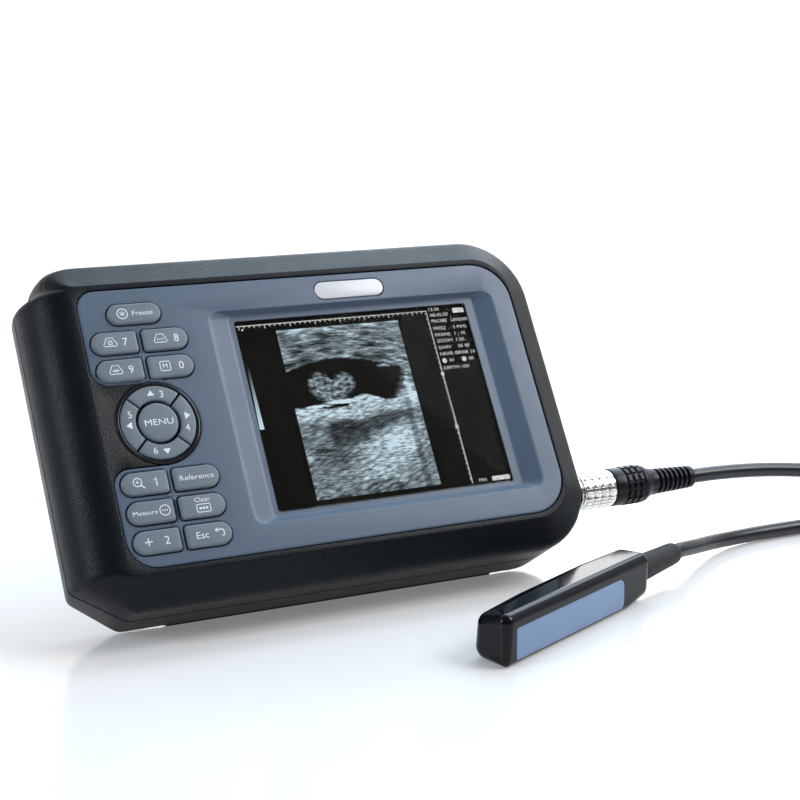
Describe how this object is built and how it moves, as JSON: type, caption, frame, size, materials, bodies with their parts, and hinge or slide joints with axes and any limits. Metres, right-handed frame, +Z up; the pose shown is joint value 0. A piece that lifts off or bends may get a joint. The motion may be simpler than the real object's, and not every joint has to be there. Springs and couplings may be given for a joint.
{
  "type": "ultrasound scanner",
  "caption": "Hand-held veterinary ultrasound scanner with keypad and display, leaning on a fold-out stand, and a linear probe on a coiled cable.",
  "frame": {"origin": "middle of the foot strip's underside, on the surface that the scanner stands on", "axes": "+X to the right along the scanner's width, +Y towards its back, +Z up"},
  "size_m": [0.514, 0.2037, 0.1446],
  "materials": {
    "case_plastic": "fine-grained satin black ABS",
    "soft_black": "matt black rubber",
    "panel_plastic": "satin blue-grey moulding",
    "window_glass": "clear polished window",
    "display_black": "black display face in a metal frame",
    "badge_white": "blank white inlay",
    "key_rubber": "satin grey silicone with white legends",
    "ring_black": "gloss black trim",
    "membrane": "grey silicone mat",
    "steel": "bright steel",
    "board_green": "green solder mask",
    "chip_black": "black moulded packages",
    "battery_wrap": "blue shrink wrap",
    "contact_gold": "gold-plated contacts",
    "connector_metal": "satin nickel plating",
    "plug_black": "black moulded plug",
    "cable_black": "black cable jacket",
    "probe_gloss": "polished black housing",
    "lens_blue": "satin blue silicone lens",
    "array_ceramic": "diced ceramic",
    "backing_grey": "loaded epoxy"
  },
  "bodies": {
    "scanner": {"front_shell": "case_plastic", "rear_shell": "case_plastic", "case_gasket": "soft_black", "port_block": "case_plastic", "front_panel": "panel_plastic", "display_window": "window_glass", "display_module": "display_black", "badge_plate": "badge_white", "pad_ring": "ring_black", "key_membrane": "membrane", "dome_switches": "steel", "key_board": "board_green", "main_board": "board_green", "board_chips": "chip_black", "board_screws": "steel", "battery_pack": "battery_wrap", "battery_contacts": "contact_gold", "case_screws": "steel", "foot_strip": "soft_black", "stand_pin": "steel", "probe_socket": "connector_metal", "socket_nut": "connector_metal", "plug_body": "plug_black", "plug_insert": "contact_gold", "plug_boot": "plug_black", "cable_lead": "cable_black", "cable_coil": "cable_black", "cable_tail": "cable_black"},
    "key_freeze": {"key_freeze": "key_rubber"},
    "key_7": {"key_7": "key_rubber"},
    "key_8": {"key_8": "key_rubber"},
    "key_9": {"key_9": "key_rubber"},
    "key_0": {"key_0": "key_rubber"},
    "key_1": {"key_1": "key_rubber"},
    "key_reference": {"key_reference": "key_rubber"},
    "key_measure": {"key_measure": "key_rubber"},
    "key_clear": {"key_clear": "key_rubber"},
    "key_2": {"key_2": "key_rubber"},
    "key_escape": {"key_escape": "key_rubber"},
    "pad_up": {"pad_up": "key_rubber"},
    "pad_right": {"pad_right": "key_rubber"},
    "pad_down": {"pad_down": "key_rubber"},
    "pad_left": {"pad_left": "key_rubber"},
    "key_menu": {"key_menu": "key_rubber"},
    "battery_door": {"battery_door": "case_plastic"},
    "stand": {"stand_leg": "case_plastic", "stand_foot": "soft_black"},
    "plug_collar": {"plug_collar": "connector_metal"},
    "probe": {"probe_front_shell": "probe_gloss", "probe_back_shell": "probe_gloss", "probe_lens": "lens_blue", "probe_array": "array_ceramic", "probe_backing": "backing_grey", "probe_boot": "plug_black"}
  },
  "joints": [
    {"name": "key_freeze_press", "type": "slide", "parent": "scanner", "child": "key_freeze", "axis": [0, 0.8462, -0.5329], "range_m": [0, 0.0008], "stiffness_N_per_m": 250},
    {"name": "key_7_press", "type": "slide", "parent": "scanner", "child": "key_7", "axis": [0, 0.8462, -0.5329], "range_m": [0, 0.0008], "stiffness_N_per_m": 250},
    {"name": "key_8_press", "type": "slide", "parent": "scanner", "child": "key_8", "axis": [0, 0.8462, -0.5329], "range_m": [0, 0.0008], "stiffness_N_per_m": 250},
    {"name": "key_9_press", "type": "slide", "parent": "scanner", "child": "key_9", "axis": [0, 0.8462, -0.5329], "range_m": [0, 0.0008], "stiffness_N_per_m": 250},
    {"name": "key_0_press", "type": "slide", "parent": "scanner", "child": "key_0", "axis": [0, 0.8462, -0.5329], "range_m": [0, 0.0008], "stiffness_N_per_m": 250},
    {"name": "key_1_press", "type": "slide", "parent": "scanner", "child": "key_1", "axis": [0, 0.8462, -0.5329], "range_m": [0, 0.0008], "stiffness_N_per_m": 250},
    {"name": "key_reference_press", "type": "slide", "parent": "scanner", "child": "key_reference", "axis": [0, 0.8462, -0.5329], "range_m": [0, 0.0008], "stiffness_N_per_m": 250},
    {"name": "key_measure_press", "type": "slide", "parent": "scanner", "child": "key_measure", "axis": [0, 0.8462, -0.5329], "range_m": [0, 0.0008], "stiffness_N_per_m": 250},
    {"name": "key_clear_press", "type": "slide", "parent": "scanner", "child": "key_clear", "axis": [0, 0.8462, -0.5329], "range_m": [0, 0.0008], "stiffness_N_per_m": 250},
    {"name": "key_2_press", "type": "slide", "parent": "scanner", "child": "key_2", "axis": [0, 0.8462, -0.5329], "range_m": [0, 0.0008], "stiffness_N_per_m": 250},
    {"name": "key_escape_press", "type": "slide", "parent": "scanner", "child": "key_escape", "axis": [0, 0.8462, -0.5329], "range_m": [0, 0.0008], "stiffness_N_per_m": 250},
    {"name": "pad_up_press", "type": "slide", "parent": "scanner", "child": "pad_up", "axis": [0, 0.8462, -0.5329], "range_m": [0, 0.0008], "stiffness_N_per_m": 250},
    {"name": "pad_right_press", "type": "slide", "parent": "scanner", "child": "pad_right", "axis": [0, 0.8462, -0.5329], "range_m": [0, 0.0008], "stiffness_N_per_m": 250},
    {"name": "pad_down_press", "type": "slide", "parent": "scanner", "child": "pad_down", "axis": [0, 0.8462, -0.5329], "range_m": [0, 0.0008], "stiffness_N_per_m": 250},
    {"name": "pad_left_press", "type": "slide", "parent": "scanner", "child": "pad_left", "axis": [0, 0.8462, -0.5329], "range_m": [0, 0.0008], "stiffness_N_per_m": 250},
    {"name": "key_menu_press", "type": "slide", "parent": "scanner", "child": "key_menu", "axis": [0, 0.8462, -0.5329], "range_m": [0, 0.0008], "stiffness_N_per_m": 250},
    {"name": "battery_door_slide", "type": "slide", "parent": "scanner", "child": "battery_door", "axis": [0, 0.5329, 0.8462], "range_m": [0, 0.09]},
    {"name": "stand_fold", "type": "hinge", "parent": "scanner", "child": "stand", "pos_m": [0.018, 0.05156, 0.08503], "axis": [-1, 0, 0], "range_deg": [0, 57]},
    {"name": "collar_turn", "type": "hinge", "parent": "scanner", "child": "plug_collar", "pos_m": [0.135, -0.002, 0.033], "axis": [1, 0, 0], "range_deg": [0, 90]},
    {"name": "probe_lift", "type": "slide", "parent": "scanner", "child": "probe", "axis": [0, 0, 1], "range_m": [0, 0.04]}
  ]
}
